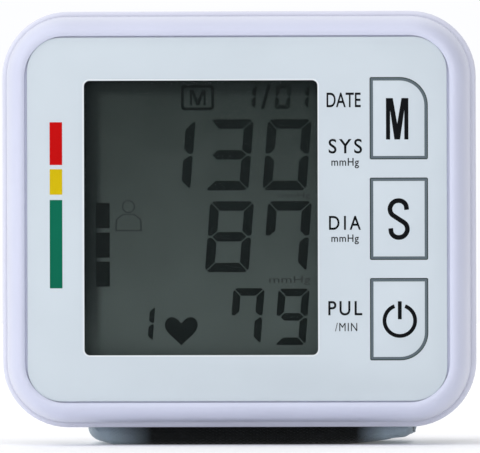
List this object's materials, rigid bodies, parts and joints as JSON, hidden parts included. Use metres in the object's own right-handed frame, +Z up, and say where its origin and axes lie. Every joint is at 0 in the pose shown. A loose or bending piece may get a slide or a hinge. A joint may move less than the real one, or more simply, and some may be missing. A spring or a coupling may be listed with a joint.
{
  "type": "wrist blood pressure monitor",
  "caption": "Square pale housing with a recessed display and three flat keys on its face, standing upright on a closed padded wrist cuff.",
  "frame": {"origin": "centre of the overall box on the plane that the cuff stands on", "axes": "+X to the right of the face, +Y from the face to the back of the cuff, +Z up"},
  "size_m": [0.085, 0.083, 0.0778],
  "materials": {
    "case": "pale lilac moulded plastic with a soft sheen",
    "film": "smooth printed face film, pale grey-white",
    "lens": "clear moulded window",
    "display_glass": "dark grey-green display glass",
    "inner_plastic": "plain moulded white",
    "dark_plastic": "plain moulded black",
    "dark_rubber": "striped contact rubber",
    "circuit_board": "green solder mask",
    "steel": "plated steel",
    "motor_can": "drawn metal can",
    "contact": "plated spring brass",
    "cell": "plain sleeve on a dry cell",
    "hose": "translucent silicone tube",
    "curler": "preformed sheet",
    "cuff_fabric": "black brushed nylon",
    "cuff_lining": "grey-blue lining over the air bladder",
    "hook_and_loop": "hook and loop pile"
  },
  "bodies": {
    "root": {"front_cover": "case", "rear_cover": "case", "face_film": "film", "display_window": "lens", "lcd_glass": "display_glass", "lcd_holder": "inner_plastic", "contact_strip": "dark_rubber", "main_board": "circuit_board", "controller_chip": "dark_plastic", "buzzer": "dark_plastic", "pressure_sensor": "dark_plastic", "switch_body_memory": "steel", "switch_body_set": "steel", "switch_body_power": "steel", "pump_motor": "motor_can", "pump_head": "inner_plastic", "exhaust_valve": "motor_can", "air_manifold": "inner_plastic", "pump_hose": "hose", "valve_hose": "hose", "sensor_hose": "hose", "air_nipple": "inner_plastic", "battery_cell_1": "cell", "battery_cell_2": "cell", "contact_bridge": "contact", "contact_minus": "contact", "contact_plus": "contact", "contact_spring_1": "steel", "contact_spring_2": "steel", "case_screw_1": "steel", "case_screw_2": "steel", "case_screw_3": "steel", "case_screw_4": "steel", "clamp_screw_1": "steel", "clamp_screw_2": "steel", "cuff_clamp": "dark_plastic", "cuff_cover": "cuff_fabric", "cuff_curler": "curler", "air_bladder": "cuff_lining", "loop_patch": "hook_and_loop"},
    "memory_key": {"key_memory": "film", "plunger_memory": "inner_plastic", "switch_button_memory": "dark_plastic"},
    "set_key": {"key_set": "film", "plunger_set": "inner_plastic", "switch_button_set": "dark_plastic"},
    "power_key": {"key_power": "film", "plunger_power": "inner_plastic", "switch_button_power": "dark_plastic"},
    "door": {"battery_door": "case"},
    "flap": {"closure_flap": "cuff_fabric", "hook_patch": "hook_and_loop", "pull_tab": "cuff_fabric"},
    "rotor": {"pump_crank": "steel"},
    "vent": {"valve_plunger": "steel"}
  },
  "joints": [
    {"name": "memory_press", "type": "slide", "parent": "root", "child": "memory_key", "axis": [0, 1, 0], "range_m": [0, 0.0004], "stiffness_N_per_m": 3000, "springref_m": -0.0001},
    {"name": "set_press", "type": "slide", "parent": "root", "child": "set_key", "axis": [0, 1, 0], "range_m": [0, 0.0004], "stiffness_N_per_m": 3000, "springref_m": -0.0001},
    {"name": "power_press", "type": "slide", "parent": "root", "child": "power_key", "axis": [0, 1, 0], "range_m": [0, 0.0004], "stiffness_N_per_m": 3000, "springref_m": -0.0001},
    {"name": "door_slide", "type": "slide", "parent": "root", "child": "door", "axis": [-1, 0, 0], "range_m": [0, 0.015]},
    {"name": "flap_open", "type": "hinge", "parent": "root", "child": "flap", "pos_m": [0, 0.0415, 0.0355], "axis": [-1, 0, 0], "range_deg": [0, 70]},
    {"name": "crank_spin", "type": "hinge", "parent": "root", "child": "rotor", "pos_m": [0.0265, -0.026, 0.04], "axis": [0, 0, 1], "continuous": true},
    {"name": "vent_stroke", "type": "slide", "parent": "root", "child": "vent", "axis": [0, 0, -1], "range_m": [0, 0.0008], "stiffness_N_per_m": 100, "springref_m": -0.0005}
  ]
}
